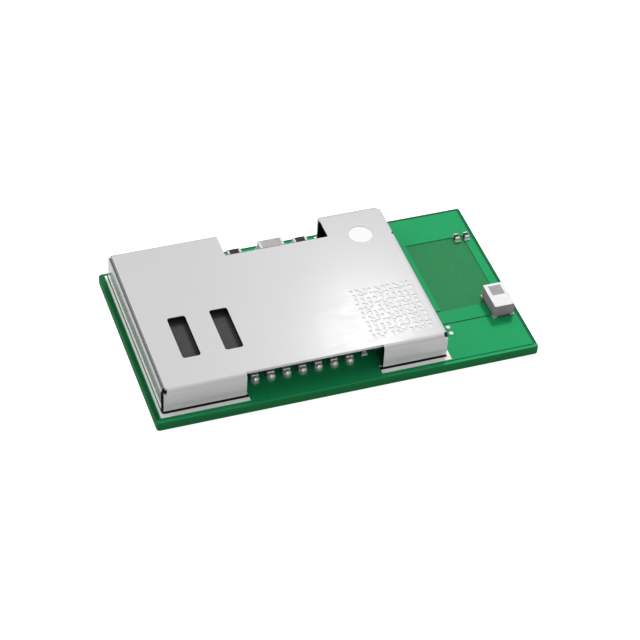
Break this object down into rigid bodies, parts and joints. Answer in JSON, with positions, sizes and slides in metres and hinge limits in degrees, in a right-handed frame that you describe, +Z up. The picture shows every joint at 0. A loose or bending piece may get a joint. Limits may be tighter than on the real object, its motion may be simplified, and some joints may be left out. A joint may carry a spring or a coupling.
{
  "type": "bluetooth module",
  "caption": "Small surface-mount radio module: green board with a folded metal shield can, chip antenna, inner parts and underside lands.",
  "frame": {"origin": "centre of the board's underside, on the surface it stands on", "axes": "+X along the board towards the antenna end, +Y across the board away from the long front edge with the row of chips, +Z up out of the can's top"},
  "size_m": [0.0156, 0.0088, 0.0016],
  "materials": {
    "shield_metal": "satin nickel silver sheet",
    "solder_tin": "bright reflowed solder",
    "land_tin": "pale tinned land",
    "seam_solder": "flux-darkened solder",
    "chip_tin": "dull tin plating",
    "mould_compound": "fine matt moulding",
    "dark_film": "dark brown film, satin",
    "brown_ceramic": "fired, satin",
    "grey_ceramic": "fired, satin",
    "ferrite": "matt moulded ferrite",
    "tub_ceramic": "fired, matt",
    "lid_metal": "plated lid, satin",
    "antenna_ceramic": "fired, satin",
    "antenna_glaze": "white coat",
    "antenna_grey": "grey print, satin",
    "glass_laminate": "glass laminate, milled edge",
    "green_lacquer": "glossy green lacquer",
    "copper": "copper foil",
    "gold_plate": "flat gold plating"
  },
  "bodies": {
    "root": {"antenna_body": "antenna_ceramic", "antenna_feed_strip": "copper", "antenna_feet": "chip_tin", "antenna_top_coat": "antenna_glaze", "antenna_top_mark": "antenna_grey", "board_laminate": "glass_laminate", "bottom_copper": "copper", "bottom_mask": "green_lacquer", "can_land_front_right": "land_tin", "can_land_left": "land_tin", "can_land_rear_right": "land_tin", "can_seam_front_right": "seam_solder", "can_seam_left": "seam_solder", "can_seam_rear_right": "seam_solder", "clock_crystal_lid": "lid_metal", "clock_crystal_tub": "tub_ceramic", "crystal_solder": "solder_tin", "front_capacitor_body_1": "brown_ceramic", "front_capacitor_body_2": "brown_ceramic", "front_capacitor_body_3": "brown_ceramic", "front_capacitor_body_4": "brown_ceramic", "front_capacitor_body_5": "brown_ceramic", "front_capacitor_body_6": "brown_ceramic", "front_capacitor_body_7": "brown_ceramic", "front_capacitor_ends": "chip_tin", "front_capacitor_solder": "solder_tin", "inner_chip_body_left": "dark_film", "inner_chip_body_right": "dark_film", "inner_chip_ends": "chip_tin", "inner_chip_solder": "solder_tin", "main_crystal_lid": "lid_metal", "main_crystal_tub": "tub_ceramic", "matching_chip_body_1": "dark_film", "matching_chip_body_2": "dark_film", "matching_chip_ends": "chip_tin", "matching_chip_pad": "copper", "matching_chip_solder": "solder_tin", "power_inductor_core": "ferrite", "power_inductor_ends": "chip_tin", "power_inductor_solder": "solder_tin", "radio_chip_body": "mould_compound", "radio_chip_paddle": "solder_tin", "radio_chip_solder": "solder_tin", "radio_chip_terminals": "solder_tin", "rear_capacitor_body": "grey_ceramic", "rear_capacitor_ends": "chip_tin", "rear_capacitor_solder": "solder_tin", "rear_resistor_body_left": "dark_film", "rear_resistor_body_right": "dark_film", "rear_resistor_ends": "chip_tin", "rear_resistor_solder": "solder_tin", "shield_can": "shield_metal", "test_pads": "solder_tin", "top_copper": "copper", "top_mask": "green_lacquer", "underside_ground_lands": "gold_plate", "underside_signal_lands": "gold_plate"}
  },
  "joints": []
}
